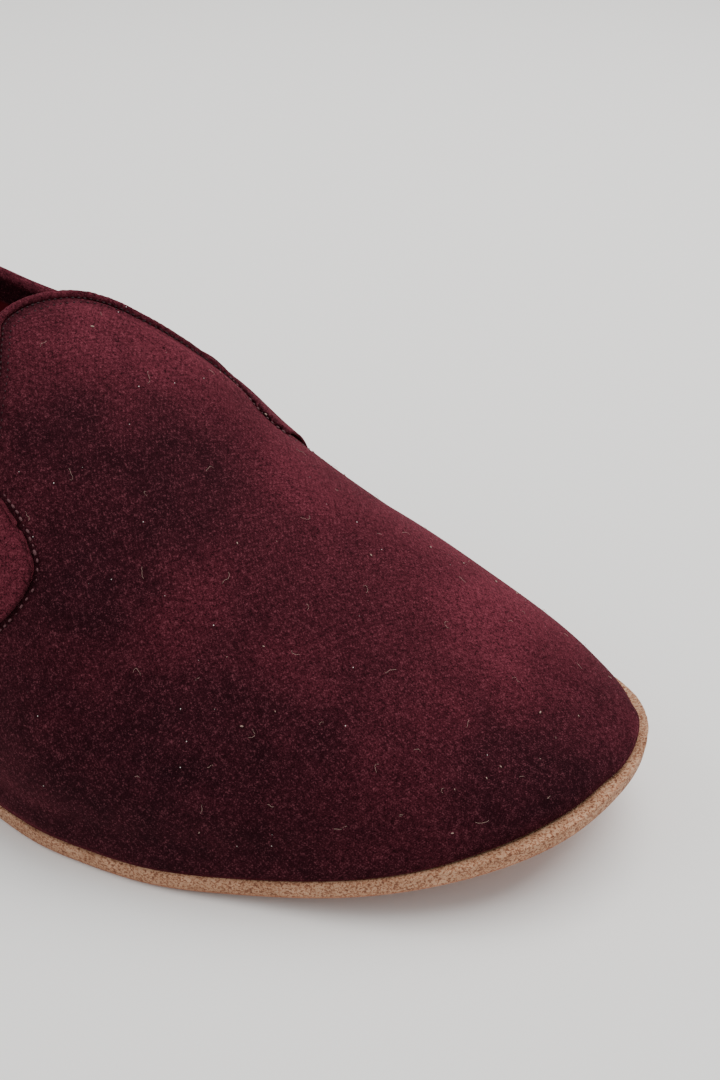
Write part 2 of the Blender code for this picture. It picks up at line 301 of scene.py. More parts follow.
def faceOutwards(piece, mergeWithin=0.0):
    # A closed piece: its doubles merged, its holes filled, its faces turned outwards
    bm = bmesh.new()
    bm.from_mesh(piece.data)
    if mergeWithin:
        bmesh.ops.remove_doubles(bm, verts=bm.verts, dist=mergeWithin)
        holes = [edge for edge in bm.edges if edge.is_boundary]
        if holes:
            bmesh.ops.holes_fill(bm, edges=holes, sides=0)
    bmesh.ops.recalc_face_normals(bm, faces=bm.faces)
    bm.to_mesh(piece.data)
    bm.free()


# Materials

def linear(hexColour):
    # sRGB hex to the linear colour that the shaders take
    channels = [int(hexColour[k:k + 2], 16) / 255 for k in (1, 3, 5)]
    return tuple(c / 12.92 if c <= 0.04045 else ((c + 0.055) / 1.055) ** 2.4 for c in channels) + (1.0,)


def newMaterial(name):
    material = bpy.data.materials.new(name)
    material.use_nodes = True
    tree = material.node_tree
    shader = tree.nodes["Principled BSDF"]
    return material, tree, shader


def setInputs(tree, node, values):
    # Each input takes a value or the output of another node
    for key, value in values.items():
        if isinstance(value, bpy.types.NodeSocket):
            tree.links.new(value, node.inputs[key])
        else:
            node.inputs[key].default_value = value


def addNode(tree, kind, settings=None, inputs=None, stops=()):
    # One node with its settings, its inputs and links and, on a ramp, its stops
    node = tree.nodes.new(kind)
    for key, value in (settings or {}).items():
        setattr(node, key, value)
    setInputs(tree, node, inputs or {})
    if stops:
        points = node.color_ramp.elements
        while len(points) < len(stops):
            points.new(0.5)
        for point, (position, value) in zip(points, stops):
            point.position = position
            point.color = value if isinstance(value, tuple) else (value, value, value, 1.0)
    return node


def patternsInMm(tree, noises):
    # The place in millimetres, and a noise for each row: size in mm, detail, roughness, distortion
    place = addNode(tree, "ShaderNodeTexCoord").outputs["Object"]
    mm = addNode(tree, "ShaderNodeVectorMath", {"operation": "SCALE"},
                 {"Vector": place, "Scale": 1000.0}).outputs[0]
    made = {}
    for key, (sizeMm, detail, roughness, distortion) in noises.items():
        made[key] = addNode(tree, "ShaderNodeTexNoise", {"noise_dimensions": "3D"}, {
            "Vector": mm, "Scale": 1 / sizeMm, "Detail": detail, "Roughness": roughness,
            "Distortion": distortion,
        }).outputs["Fac"]
    return mm, made


velvetLook = {
    # Body colours from the darkest painted shade low on the sides to the lit crown, with the pile's own tone
    # between
    "pile": "#4c1a24",
    "pileDark": "#2b0c14",
    "pileDarkest": "#1c0810",
    "pileLight": "#742f3c",
    # Painted shade in the pits between the tufts, and a painted highlight on their tips
    "pitShade": "#1d060b",
    "tipHighlight": "#8f4f58",
    "pressed": "#1c070c",       # painted shade in the seams' trenches, beside the tongue's edge and along the lobes' edges
    "sheen": "#a84a58",
    "dust": "#d9d2cb",
    "dustMm": 3.1,              # one fleck of dust in every few millimetres
    "noises": {
        "blotch": (34.0, 2.0, 0.55, 0.4),
        "brushed": (7.0, 3.0, 0.6, 0.0),
        "grain": (0.27, 2.0, 0.75, 0.0),
        "coarse": (0.85, 2.0, 0.6, 0.0),
        "swell": (5.5, 2.0, 0.5, 0.0),
    },
    "twills": ((38, 0.78), (-48, 0.6708)),   # rows of tufts: their turn on the cloth, their distance in mm
    "wavePeriod": 0.314,        # of a wave texture at scale 1
}


def velvetMaterial(name, sheen):
    # Cotton velvet with a 1 mm pile: dark where the pile is seen end on, mauve and lighter seen from the side
    material, tree, shader = newMaterial(name)
    look = velvetLook
    mm, noises = patternsInMm(tree, look["noises"])
    cloth = addNode(tree, "ShaderNodeUVMap", {"uv_map": "cloth"}).outputs["UV"]
    pressed, nap = (addNode(tree, "ShaderNodeAttribute", {"attribute_name": key}).outputs["Fac"]
                    for key in ("pressed", "nap"))
    twills = []
    for turn, spacing in look["twills"]:
        turned = addNode(tree, "ShaderNodeMapping", None,
                         {"Vector": cloth, "Rotation": (0.0, 0.0, math.radians(turn))}).outputs[0]
        twills.append(addNode(tree, "ShaderNodeTexWave", {
            "wave_type": "BANDS", "bands_direction": "X", "wave_profile": "SIN",
        }, {
            "Vector": turned, "Scale": look["wavePeriod"] / spacing,
            "Distortion": 1.6, "Detail": 1.0, "Detail Scale": 1.4,
        }).outputs["Fac"])
    # tufts: 0 in the pits, 1 at the tips
    tufts = addNode(tree, "ShaderNodeMath", {"operation": "MULTIPLY"},
                    {0: twills[0], 1: twills[1]}).outputs[0]
    for share, other in ((0.92, noises["grain"]), (0.34, noises["coarse"])):
        tufts = addNode(tree, "ShaderNodeMix", {"data_type": "FLOAT"},
                        {"Factor": share, "A": tufts, "B": other}).outputs[0]
    cells = addNode(tree, "ShaderNodeTexVoronoi", {"feature": "F1"},
                    {"Vector": mm, "Scale": 1 / look["dustMm"], "Randomness": 1.0})
    cellPick = addNode(tree, "ShaderNodeSeparateColor", None, {"Color": cells.outputs["Color"]}).outputs[0]
    masks = {}
    for key, source, mode, stops in (
        ("blotch", noises["blotch"], "EASE", ((0.36, 0.0), (0.66, 1.0))),
        ("brushed", noises["brushed"], "LINEAR", ((0.35, 0.0), (0.68, 1.0))),
        ("pitShadeMask", tufts, "LINEAR", ((0.36, 1.0), (0.50, 0.2), (0.62, 0.0))),
        ("tipHighlightMask", tufts, "LINEAR", ((0.52, 0.0), (0.66, 1.0))),
        ("fleck", cells.outputs["Distance"], "LINEAR", ((0.024, 1.0), (0.042, 0.0))),
        ("chosen", cellPick, "LINEAR", ((0.64, 0.0), (0.70, 1.0))),
    ):
        ramp = addNode(tree, "ShaderNodeValToRGB", None, {"Fac": source}, stops)
        ramp.color_ramp.interpolation = mode
        masks[key] = ramp.outputs["Color"]
    dust = addNode(tree, "ShaderNodeMath", {"operation": "MULTIPLY"},
                   {0: masks["fleck"], 1: masks["chosen"]}).outputs[0]
    # The blotches' pile tone and the attribute's painted shade (lighter on the crown, darker low on the
    # sides) pick the body colour
    toneAndShade = addNode(tree, "ShaderNodeMath", {"operation": "MULTIPLY_ADD"},
                      {0: masks["blotch"], 1: 0.20, 2: nap}).outputs[0]
    body = addNode(tree, "ShaderNodeValToRGB", None, {"Fac": toneAndShade}, (
        (0.0, linear(look["pileDarkest"])), (0.42, linear(look["pileDark"])),
        (0.70, linear(look["pile"])), (1.0, linear(look["pileLight"])),
    )).outputs["Color"]
    # Painted shade in the pits between tufts and in the seams, a painted highlight on the tufts' tips; the
    # brushed pile tone and dust are the cloth's own
    for colour, strength, mask in (
        ("pileLight", 0.16, masks["brushed"]),
        ("pitShade", 1.0, masks["pitShadeMask"]),
        ("tipHighlight", 0.42, masks["tipHighlightMask"]),
        ("pressed", 0.85, pressed),
        ("dust", 1.0, dust),
    ):
        share = addNode(tree, "ShaderNodeMath", {"operation": "MULTIPLY"}, {0: mask, 1: strength}).outputs[0]
        body = addNode(tree, "ShaderNodeMix", {"data_type": "RGBA"},
                       {0: share, 6: body, 7: linear(look[colour])}).outputs[2]
    relief = addNode(tree, "ShaderNodeBump", None,
                     {"Strength": 0.55, "Distance": 0.00035, "Height": tufts}).outputs[0]
    swell = addNode(tree, "ShaderNodeBump", None, {
        "Strength": 0.25, "Distance": 0.0012, "Height": noises["swell"], "Normal": relief,
    }).outputs[0]
    setInputs(tree, shader, {
        "Base Color": body, "Roughness": 0.92, "Specular IOR Level": 0.06, "Sheen Weight": sheen,
        "Sheen Roughness": 0.34, "Sheen Tint": linear(look["sheen"]), "Normal": swell,
    })
    return material


leatherLooks = {
    "sole": {"fibre": "#c79f80", "body": "#b07c5c", "pore": "#7a4c36", "low": "#9c6247", "roughness": 0.75},
    "heel": {"fibre": "#a3734f", "body": "#8a5a3c", "pore": "#5c3824", "low": "#5c3824", "roughness": 0.55},
    "shade": ("#cfc4bb", "#ffffff"),
    "noises": {"fibres": (0.48, 3.0, 0.7, 0.6), "broad": (6.0, 2.0, 0.5, 0.0)},
}


def leatherMaterial(name, kind):
    # Vegetable-tanned leather cut raw: pale fibres stand up from a browner body, and the attribute "low"
    # makes the sole's edge darker towards the bottom
    material, tree, shader = newMaterial(name)
    look = leatherLooks[kind]
    _, noises = patternsInMm(tree, leatherLooks["noises"])
    colour = addNode(tree, "ShaderNodeValToRGB", None, {"Fac": noises["fibres"]}, (
        (0.40, linear(look["pore"])), (0.48, linear(look["body"])), (0.56, linear(look["fibre"])),
    )).outputs["Color"]
    dark, light = leatherLooks["shade"]
    shade = addNode(tree, "ShaderNodeValToRGB", None, {"Fac": noises["broad"]},
                    ((0.3, linear(dark)), (0.7, linear(light)))).outputs["Color"]
    shaded = addNode(tree, "ShaderNodeMix", {"data_type": "RGBA", "blend_type": "MULTIPLY"},
                     {0: 0.7, 6: colour, 7: shade}).outputs[2]
    low = addNode(tree, "ShaderNodeAttribute", {"attribute_name": "low"}).outputs["Fac"]
    body = addNode(tree, "ShaderNodeMix", {"data_type": "RGBA"},
                   {0: low, 6: shaded, 7: linear(look["low"])}).outputs[2]
    relief = addNode(tree, "ShaderNodeBump", None,
                     {"Strength": 0.6, "Distance": 0.0003, "Height": noises["fibres"]}).outputs[0]
    setInputs(tree, shader, {
        "Base Color": body, "Roughness": look["roughness"], "Specular IOR Level": 0.3, "Normal": relief,
    })
    return material


def liningMaterial(name, colour):
    # Thin crimson lining cloth: a close plain weave, almost matt
    material, tree, shader = newMaterial(name)
    _, noises = patternsInMm(tree, {"weave": (0.45, 2.0, 0.6, 0.0)})
    relief = addNode(tree, "ShaderNodeBump", None,
                     {"Strength": 0.3, "Distance": 0.0002, "Height": noises["weave"]}).outputs[0]
    setInputs(tree, shader, {
        "Base Color": linear(colour), "Roughness": 0.8, "Specular IOR Level": 0.2, "Normal": relief,
    })
    return material


def threadMaterial(name, colour):
    # Cotton thread or lint: one matt colour
    material, tree, shader = newMaterial(name)
    setInputs(tree, shader, {"Base Color": linear(colour), "Roughness": 0.85})
    return material


velvet = velvetMaterial("cottonVelvet", 0.42)
velvetRoll = velvetMaterial("velvetRoll", 0.504)     # the pile stands open round the roll
soleLeather = leatherMaterial("vegetableTannedLeather", "sole")
heelLeather = leatherMaterial("stackedHeelLeather", "heel")
sockLeather = liningMaterial("crimsonSock", "#5a0f1d")
liningCloth = liningMaterial("crimsonLining", "#5c0a18")
darkThread = threadMaterial("darkCottonThread", "#2a1016")
paleThread = threadMaterial("paleCottonThread", "#573337")
creamLint = threadMaterial("creamLint", "#9c8276")
print("materials")


# Vamp with its tongue

vamp = {
    "endSlope": 0.004,
    "rows": 200,
    "across": 240,
    "clothThickness": 0.0011,
    "underLobe": 0.012,       # how far the vamp runs on beneath the quarters
    "nearEnd": 0.62,          # rows lie closer together towards the tongue's edge
    "trenchAt": 0.00045,
    "trenchHalfWidth": 0.00050,
    "trenchDepth": 0.00042,
    "bandEnd": 0.0024,
    "bandDepth": 0.00018,
    "puffAt": 0.0055,
    "puff": 0.00022,
    "puffHalfWidth": 0.0045,
    "bandFade": 0.0012,
    "lobeDent": 0.00025,      # the lobe's seam presses the vamp in
    "lobeDentWidth": 0.0016,
    "girthMm": 150.0,
    "mmPerRadian": 48.0,
    "bulgeHeight": 0.0075,    # the lowest cloth bulges over the sole's ledge, less at the toe
    "bulgeFrom": 0.03,
    "bulgeOver": 0.09,
}

# Soft creases: share of the length behind the toe, degrees round the section, length, half width and
# depth in millimetres (negative is a ridge), and the turn in degrees from straight across the foot
creases = (
    # behind  degrees  long  half   deep   turn
    (0.300,   78,      46,   9.0,   0.50,  12),
    (0.262,   70,      40,   8.0,  -0.35,  10),
    (0.345,   66,      34,   7.0,   0.30, -18),
    (0.225,   92,      36,   8.0,   0.28,  -8),
    (0.300,   38,      40,   9.0,   0.40,  30),
    (0.250,   30,      34,   8.0,  -0.30,  24),
    (0.205,   45,      30,   7.0,   0.30,  18),
    (0.120,   60,      26,   8.0,   0.22,  35),
    (0.095,   95,      24,   7.0,  -0.16,  15),
    (0.380,   30,      36,   8.0,   0.35,  10),
)


def creaseDepth(behind, angle):
    depth = np.zeros_like(behind)
    for atBehind, atDegrees, length, half, deep, turn in creases:
        along = (behind - atBehind) * shoe["length"] * 1000
        over = (angle - math.radians(atDegrees)) * vamp["mmPerRadian"]
        c, s = math.cos(math.radians(turn)), math.sin(math.radians(turn))
        lengthwise = over * c + along * s
        sideways = along * c - over * s
        fade = np.exp(-(sideways / half) ** 2 * 1.4) * np.exp(-(lengthwise / length * 1.6) ** 2)
        depth += deep * 0.001 * fade
    return depth


def vampAllowed(points):
    x, z = sideX(points), points[2]
    inFront = x >= tongueXAt(z)
    hidden = (z <= topLineZAt(x) - 0.0015) & (x >= lobeXAt(z) - vamp["underLobe"])
    return inFront | hidden


def vampEnds(angles):
    # For each angle, how far back the vamp reaches, and whether it ends at the tongue's edge
    behind = np.linspace(0.30, 0.58, 900)[:, None] + 0 * angles[None, :]
    points = lastPoint(behind, np.broadcast_to(angles, behind.shape))
    outside = ~vampAllowed(points)
    first = np.argmax(outside, axis=0)
    columns = np.arange(len(angles))
    ends = behind[first, columns]
    z = points[2][first, columns]
    # only the columns that join up with the crest end at the tongue's edge
    high = z > notchZ + 0.0002
    crest = len(angles) // 2
    first, last = crest - np.argmin(high[crest::-1]), crest + np.argmin(high[crest:])
    return ends, (columns > first) & (columns < last)


def distanceTo(line, points):
    # Shortest distance from each point to a polyline's own points
    best = np.full(points.shape[1:], 1.0)
    for k in range(line.shape[1]):
        away = np.zeros(points.shape[1:])
        for axis in range(line.shape[0]):
            away += (points[axis] - line[axis, k]) ** 2
        best = np.minimum(best, away)
    return np.sqrt(best)


vampAngles = np.linspace(0, math.pi, vamp["across"] + 1)
vampEnd, onTongue = vampEnds(vampAngles)
# under the quarters the cloth's end falls away from the tongue in an even slope
reach = np.array(vampEnd)
for column in list(range(1, len(reach))) + list(range(len(reach) - 2, -1, -1)):
    for neighbour in (column - 1, column + 1):
        if 0 <= neighbour < len(reach) and not onTongue[column]:
            reach[column] = min(reach[column], reach[neighbour] + vamp["endSlope"])
vampEnd = np.where(onTongue, vampEnd, reach)
tongueAngles = vampAngles[onTongue]
tongueLine = lastPoint(vampEnd[onTongue], tongueAngles)
lobeOutline = np.array([lobeX, lobeZ])


def vampParameters(u, v):
    k = vamp["nearEnd"]
    turnEnd = np.interp(v, vampAngles / math.pi, turnOf(vampEnd))
    turn = turnEnd * (u * (1 + k) - k * u * u)
    return behindOf(turn), v * math.pi


def vampEdgeDistances(behind, angle):
    points = lastPoint(behind, angle)
    fine = np.linspace(0, tongueLine.shape[1] - 1, tongueLine.shape[1] * 2)
    line = np.array([np.interp(fine, np.arange(tongueLine.shape[1]), tongueLine[axis]) for axis in range(3)])
    toTongue = np.full(behind.shape, 1.0)
    rear = behind.max(axis=1) > 0.27
    toTongue[rear] = distanceTo(line, points[:, rear])
    side = np.array([sideX(points), points[2]])
    toLobe = distanceTo(lobeOutline[:, ::2], side)
    return toTongue, toLobe


def overLedge(behind, points):
    # The cloth's lowest few millimetres bulge over the sole's ledge, less at the toe
    height = points[2] - soleUnderside(behind) - shoe["soleThickness"]
    alongSide = smoothStep((behind - vamp["bulgeFrom"]) / vamp["bulgeOver"])
    share = shoe["toeOver"] + (shoe["sideOver"] - shoe["toeOver"]) * alongSide
    return share * (1 - smoothStep(height / vamp["bulgeHeight"]))


def vampPlace(u, v):
    behind, angle = vampParameters(u, v)
    d, toLobe = vampEdgeDistances(behind, angle)
    away = -creaseDepth(behind, angle) * smoothStep(behind / 0.05)
    away -= vamp["trenchDepth"] * bump((d - vamp["trenchAt"]) / vamp["trenchHalfWidth"])
    away -= vamp["bandDepth"] * (1 - smoothStep((d - vamp["bandEnd"]) / vamp["bandFade"]))
    away += vamp["puff"] * bump((d - vamp["puffAt"]) / vamp["puffHalfWidth"])
    away -= vamp["lobeDent"] * (1 - smoothStep(toLobe / vamp["lobeDentWidth"]))
    away += overLedge(behind, lastPoint(behind, angle))
    return offsetPoint(behind, angle, away)


# Places where the pile lies away (dark) or towards the eye (light), and two wide dark places low on the outer
# side that are painted shade: behind, degrees, radius in mm, strength
toneAndShadeSpots = (
    (0.393, 65, 17, -0.26),
    (0.331, 73, 26, -0.22),
    (0.340, 46, 16, -0.32),
    # These two: painted shade low on the outer side
    (0.232, 8, 46, -0.26),
    (0.329, 8, 42, -0.20),
    (0.058, 44, 24, -0.20),
    (0.267, 94, 15, 0.12),
    (0.106, 71, 28, 0.05),
    (0.030, 112, 34, -0.12),
    (0.391, 99, 24, 0.24),
    (0.159, 109, 36, 0.06),
    (0.212, 61, 26, 0.04),
    (0.389, 38, 15, 0.14),
)


def napAndShadeAt(behind, angle):
    # Painted shade: lighter up towards the crown, darker low on both sides, evening out towards the heel,
    # with the listed spots of pile tone and painted shade laid over
    points = lastPoint(behind, angle)
    degrees = np.degrees(angle)
    nap = 0.36 + 0.32 * smoothStep((degrees - 18) / 100) * (1 - smoothStep((degrees - 122) / 50))
    nap = nap - (nap - 0.40) * smoothStep((behind - 0.50) / 0.20)
    for atBehind, atDegrees, radius, strength in toneAndShadeSpots:
        centre = lastPoint(np.array([[atBehind]]), np.array([[math.radians(atDegrees)]]))[:, 0, 0]
        away = np.sqrt(sum((points[k] - centre[k]) ** 2 for k in range(3))) * 1000
        nap = nap + strength * (1 - smoothStep(away / radius))
    return np.clip(nap, 0.0, 1.0)


def vampLayers(u, v, points):
    behind, angle = vampParameters(u, v)
    d, toLobe = vampEdgeDistances(behind, angle)
    # Painted shade: darker in the trench and band beside the tongue's edge and along the lobe's edge
    trench = bump((d - vamp["trenchAt"]) / (vamp["trenchHalfWidth"] * 1.3))
    band = 0.45 * (1 - smoothStep((d - vamp["bandEnd"] * 0.75) / 0.0009))
    lobe = 0.75 * (1 - smoothStep(toLobe / 0.0012))
    return {"pressed": np.clip(np.maximum(np.maximum(trench, band), lobe), 0, 1), "nap": napAndShadeAt(behind, angle)}


velvetVamp = clothSheet("velvet_vamp", vamp["rows"], vamp["across"], vampPlace, layers=vampLayers,
                        flatWidth=vamp["girthMm"])
addWall(velvetVamp, vamp["clothThickness"])
velvetVamp.data.materials.append(velvet)
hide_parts("upper")
print("vamp", len(velvetVamp.data.polygons))


# Quarters: outer face, rolled top line and turned-in facing in one cloth

quarters = {
    # How much lighter the outer lobe's front is painted: part the pile running another way, part painted
    # light
    "lighter": 0.32,
    "rows": 150,              # from each lobe to the heel
    "rise": 84,
    "roll": 10,
    "facing": 8,
    "nearFront": 0.72,
    "outside": 0.0009,        # how far the cloth stands out over the vamp
    "inside": -0.00195,
    "rollHeight": 0.0011,
    "facingDepth": 0.0062,
    "edgeRound": 0.0017,
    "clothThickness": 0.0005,
    "edgeAtSeam": 0.00005,    # the sewn edge of the lobe lies down on the vamp
    "puff": 0.00030,
    "puffAt": 0.0050,
    "puffHalfWidth": 0.0045,
    "insideAtSeam": 0.00002,
    "creaseShare": 0.6,
    "metresPerRadian": 0.045,
}
lobeTop = np.argmax(lobeX)
upperX = np.concatenate([lobeX[:lobeTop + 1][::-1], lineX[1:]])
upperZ = np.concatenate([lobeZ[:lobeTop + 1][::-1], lineZ[1:]])


def upperZAt(x):
    return np.interp(x, upperX[::-1], upperZ[::-1])


def lobeFrontXAt(z):
    lowZ, lowX = lobeZ[lobeTop:][::-1], lobeX[lobeTop:][::-1]
    return np.interp(z, lowZ, lowX)


def topAngles(behind, inner):
    # The angle at which the last meets the top line, on the outer side or the inner one
    low = np.zeros_like(behind)
    high = np.full_like(behind, math.pi / 2 - 0.02)
    for _ in range(26):
        middle = (low + high) / 2
        points = lastPoint(behind, math.pi - middle if inner else middle)
        below = points[2] < upperZAt(sideX(points))
        low = np.where(below, middle, low)
        high = np.where(below, high, middle)
    return (low + high) / 2


quarterBehind = behindOf(np.linspace(turnOf(0.30), math.pi, 500))
quarterTops = {inner: topAngles(quarterBehind, inner) for inner in (False, True)}


def topAngleAt(behind, inner):
    return np.interp(behind, quarterBehind, quarterTops[inner])


def frontBehind(shares, inner):
    # Where each row of the cloth starts at the lobe's front
    behind = np.linspace(0.30, 0.56, 900)[:, None] + 0 * shares[None, :]
    angle = np.broadcast_to(shares, behind.shape) * topAngleAt(behind, inner)
    points = lastPoint(behind, math.pi - angle if inner else angle)
    inLobe = sideX(points) <= lobeFrontXAt(points[2])
    return behind[np.argmax(inLobe, axis=0), np.arange(len(shares))]


shareKeys = np.linspace(0, 1, 240)
frontRows = {inner: frontBehind(shareKeys, inner) for inner in (False, True)}


def quarterParameters(s, t):
    # s runs from the outer lobe round the heel to the inner lobe, t from the sole to the top line
    k = quarters["nearFront"]
    half = 1 - np.abs(2 * s - 1)
    along = (1 - k) * half + k * half * half
    behind = np.zeros_like(s)
    angle = np.zeros_like(s)
    for inner in (False, True):
        here = s > 0.5 if inner else s <= 0.5
        start = turnOf(np.interp(t[here], shareKeys, frontRows[inner]))
        b = behindOf(start + (math.pi - start) * along[here])
        a = t[here] * topAngleAt(b, inner)
        behind[here] = b
        angle[here] = math.pi - a if inner else a
    return behind, angle


def quarterRows(v):
    # Splits the cloth's width into the outer face, the roll and the facing
    total = quarters["rise"] + quarters["roll"] + quarters["facing"]
    row = v * total
    rise = np.clip(row / quarters["rise"], 0, 1)
    roll = np.clip((row - quarters["rise"]) / quarters["roll"], 0, 1)
    facing = np.clip((row - quarters["rise"] - quarters["roll"]) / quarters["facing"], 0, 1)
    return 1 - (1 - rise) ** 1.25, roll, facing


def quarterPlace(u, v):
    t, roll, facing = quarterRows(v)
    behind, angle = quarterParameters(u, t)
    points = lastPoint(behind, angle)
    x = sideX(points)
    side = np.array([x, points[2]])
    d = distanceTo(lobeOutline[:, ::2], side)
    # 0 on the lobe's nose, 1 along the free top line
    free = smoothStep((lineX[0] - x - 0.001) / 0.010)
    inner = u > 0.5
    curl = np.sqrt(np.clip(1 - (1 - np.clip(d / quarters["edgeRound"], 0, 1)) ** 2, 0, 1))
    outside = quarters["edgeAtSeam"] + (quarters["outside"] - quarters["edgeAtSeam"]) * curl
    outside = outside + quarters["puff"] * bump((d - quarters["puffAt"]) / quarters["puffHalfWidth"])
    inside = quarters["inside"] * free + (1 - free) * quarters["insideAtSeam"]
    middle, half = (outside + inside) / 2, (outside - inside) / 2
    creased = outside - creaseDepth(behind, angle) * quarters["creaseShare"]
    away = np.where(roll > 0, middle + half * np.cos(roll * math.pi), creased)
    drop = facing * quarters["facingDepth"] * free / quarters["metresPerRadian"]
    angle = np.where(inner, angle + drop, angle - drop)
    moved = offsetPoint(behind, angle, away)
    tiny = 1e-3
    rise = lastPoint(behind, np.where(inner, angle - tiny, angle + tiny)) - lastPoint(behind, angle)
    rise /= np.maximum(np.linalg.norm(rise, axis=0), 1e-12)
    moved = moved + rise * quarters["rollHeight"] * np.sin(roll * math.pi) * free * (facing == 0)
    seam = np.abs(2 * u - 1) < 1e-6
    moved[1] = np.where(seam, shoe["heelMiddle"], moved[1])
    base = soleUnderside(behind) + shoe["soleThickness"] + shoe["gap"]
    moved[2] = np.maximum(moved[2], base)
    return moved


def quarterLayers(u, v, points):
    t, roll, facing = quarterRows(v)
    behind, angle = quarterParameters(u, t)
    flat = lastPoint(behind, angle)
    d = distanceTo(lobeOutline[:, ::2], np.array([sideX(flat), flat[2]]))
    # The outer lobe's front is painted lighter, part pile direction and part painted light; the turned-in
    # facing gets painted shade inside the collar
    lighter = quarters["lighter"] * (1 - smoothStep((behind - 0.38) / 0.12)) * (angle < 1.5)
    nap = np.where(facing > 0, 0.12, np.clip(napAndShadeAt(behind, angle) + lighter, 0, 1))
    # Painted shade along the lobe's edge
    return {"pressed": np.clip(0.8 * (1 - smoothStep(d / 0.0007)), 0, 1) * (roll == 0), "nap": nap}


velvetQuarters = clothSheet("velvet_quarters", 2 * quarters["rows"],
                            quarters["rise"] + quarters["roll"] + quarters["facing"],
                            quarterPlace, uvStart=(300.0, 0.0), layers=quarterLayers)
addWall(velvetQuarters, quarters["clothThickness"])
velvetQuarters.data.materials.append(velvet)
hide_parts("quarters")
print("quarters", len(velvetQuarters.data.polygons))


# Lining: one crimson cloth inside the vamp and one inside the quarters

lining = {
    "vampRows": 90,
    "vampAcross": 110,
    "quarterRows": 90,
    "quarterRise": 50,
    "depth": -0.0017,
    "thickness": 0.00035,
    "belowTopLine": 0.985,
}


def vampLiningPlace(u, v):
    behind, angle = vampParameters(u * 0.999, v)
    return offsetPoint(behind, angle, lining["depth"] + 0 * behind)


def quarterLiningPlace(u, v):
    behind, angle = quarterParameters(u, v * lining["belowTopLine"])
    points = offsetPoint(behind, angle, lining["depth"] + 0 * behind)
    points[1] = np.where(np.abs(2 * u - 1) < 1e-6, shoe["heelMiddle"], points[1])
    return points


vampLining = clothSheet("vamp_lining", lining["vampRows"], lining["vampAcross"], vampLiningPlace,
                        flatWidth=vamp["girthMm"])
quarterLining = clothSheet("quarter_lining", 2 * lining["quarterRows"], lining["quarterRise"],
                           quarterLiningPlace)
for cloth in (vampLining, quarterLining):
    addWall(cloth, lining["thickness"], offset=1.0)
    cloth.data.materials.append(liningCloth)


# Piping along the tongue's edge

piping = {
    "rows": 420,
    "around": 14,
    "radius": 0.00088,
    "flatten": 0.85,
    "sunk": -0.00015,
    "behindEdge": 0.00035,
    "lumps": 0.10,
}


def tongueAt(at):
    # How far back the tongue's edge lies, and its angle, at a place counted in the edge's own points
    points = np.arange(tongueLine.shape[1])
    return np.interp(at, points, vampEnd[onTongue]), np.interp(at, points, tongueAngles)


def pipingPlace(u, v):
    at = u * (tongueLine.shape[1] - 1)
    end, turn = tongueAt(at)
    sunk = piping["sunk"] + 0 * end
    centre = offsetPoint(end, turn, sunk)
    out = faceNormal(end, turn)
    ahead = offsetPoint(*tongueAt(at + 1), sunk)
    astern = offsetPoint(*tongueAt(at - 1), sunk)
    run = ahead - astern
    run /= np.maximum(np.linalg.norm(run, axis=0), 1e-12)
    rear = np.cross(run, out, axis=0)
    rear *= -np.sign(rear[0])
    centre = centre + rear * piping["behindEdge"]
    theta = v * 2 * math.pi
    fine = np.array([
        [noise.noise(Vector((a * 160, math.cos(b) * 1.5, math.sin(b) * 1.5))) for a, b in zip(rowA, rowB)]
        for rowA, rowB in zip(u, theta)
    ])
    ends = np.sqrt(np.clip(1 - (1 - np.clip(np.minimum(u, 1 - u) * 140, 0, 1)) ** 2, 0, 1))
    radius = piping["radius"] * (1 + piping["lumps"] * fine) * ends
    return centre + out * radius * np.cos(theta) + rear * radius * piping["flatten"] * np.sin(theta)


tonguePiping = clothSheet("tongue_roll", piping["rows"], piping["around"], pipingPlace, uvStart=(700.0, 0.0),
                          layers=lambda u, v, points: {"nap": 0.66 + 0 * u})
faceOutwards(tonguePiping)
tonguePiping.data.materials.append(velvetRoll)
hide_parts("tongue_piping")
print("lining and piping")


# Stitches: dark dots along the tongue, light beads round the quarters' lobes

stitches = {
    "tongueRows": ((0.0010, 0.0013, 0.00013, 0.00032), (0.0026, 0.0015, 0.00011, 0.00026)),
    "beadStep": 0.0014,
    "beadOutside": 0.0008,
    "bead": (0.00019, 0.00036),
    "flecks": 34,
    "fibres": 60,
    "fibreLength": 0.0021,
    "fibreRadius": 0.00003,
    "fleck": 0.00013,
}


def addBeads(bm, behind, angle, wide, long, seed, sunk=0.0, ragged=0.35, runs=None):
    # Small rounded stitches lying along their row or along runs, each a little off in size and turn
    points = lastPoint(behind, angle)
    normals = faceNormal(behind, angle)
    if runs is None:
        runs = np.gradient(points, axis=1)
    for k in range(points.shape[1]):
        size = 1 + ragged * noise.noise(Vector((seed, k * 1.7, 0.3)))
        turn = 0.5 * noise.noise(Vector((seed + 4.0, k * 2.3, 0.9)))
        out = Vector(normals[:, k]).normalized()
        run = Vector(runs[:, k])
        run = (run - out * run.dot(out)).normalized()
        across = out.cross(run)
        c, s = math.cos(turn), math.sin(turn)
        axes = ((run * c + across * s) * long, (across * c - run * s) * wide, out * wide)
        stretch = (Matrix(axes) * size).transposed().to_4x4()
        stretch.translation = Vector(points[:, k]) - out * sunk + Vector(shoe["middle"])
        bmesh.ops.create_icosphere(bm, subdivisions=2, radius=1.0, matrix=stretch)


